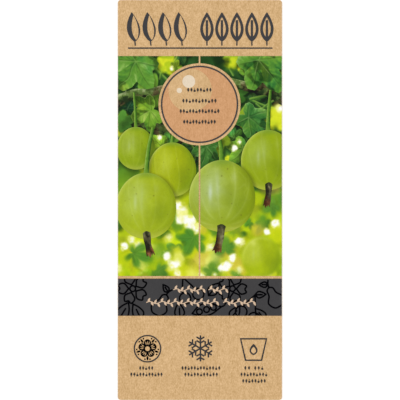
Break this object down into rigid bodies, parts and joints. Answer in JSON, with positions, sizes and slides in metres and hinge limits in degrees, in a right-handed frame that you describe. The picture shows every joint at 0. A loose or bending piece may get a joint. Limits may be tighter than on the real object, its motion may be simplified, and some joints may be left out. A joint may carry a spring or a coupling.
{
  "type": "plant label",
  "caption": "Flat kraft plant label with rounded corners: a row of leaves, a fruit picture in halves, a round medallion, a dark band and care symbols.",
  "frame": {"origin": "middle of the board's underside", "axes": "+Y towards the label's top edge, +Z out of its printed face, +X to its right"},
  "size_m": [0.0616, 0.15, 0.0006],
  "materials": {
    "kraft_board": "matte",
    "dark_ink": "matte",
    "band_ink": "matte",
    "tan_ink": "matte",
    "copper_ink": "matte",
    "sand_ink": "matte",
    "light_ink": "matte",
    "picture_print": "satin",
    "leaf_print": "satin",
    "berry_print": "satin",
    "twig_print": "satin"
  },
  "bodies": {
    "root": {"band": "band_ink", "band_garland_lower_left": "tan_ink", "band_garland_lower_right": "tan_ink", "band_garland_upper_left": "tan_ink", "band_garland_upper_right": "tan_ink", "berry_behind": "berry_print", "berry_far": "berry_print", "berry_front_left": "berry_print", "berry_front_right": "berry_print", "berry_left": "berry_print", "berry_right": "berry_print", "berry_small": "berry_print", "card": "kraft_board", "header_leaf_1": "dark_ink", "header_leaf_2": "dark_ink", "header_leaf_3": "dark_ink", "header_leaf_4": "dark_ink", "header_leaf_5": "dark_ink", "header_leaf_6": "dark_ink", "header_leaf_7": "dark_ink", "header_leaf_8": "dark_ink", "header_leaf_9": "dark_ink", "header_rule": "dark_ink", "leaf_low_left": "leaf_print", "leaf_low_middle_left": "leaf_print", "leaf_low_middle_right": "leaf_print", "leaf_middle_left": "leaf_print", "leaf_middle_right": "leaf_print", "leaf_side_left": "leaf_print", "leaf_side_right": "leaf_print", "leaf_top_left": "leaf_print", "leaf_top_right": "leaf_print", "medallion_disc": "copper_ink", "medallion_dot_large": "light_ink", "medallion_dot_small": "light_ink", "medallion_glow": "sand_ink", "medallion_ring": "dark_ink", "picture_left": "picture_print", "picture_right": "picture_print", "symbol_blossom": "dark_ink", "symbol_drop": "dark_ink", "symbol_pot": "dark_ink", "symbol_ring": "dark_ink", "symbol_snowflake": "dark_ink", "twig_left": "twig_print", "twig_right": "twig_print"}
  },
  "joints": []
}
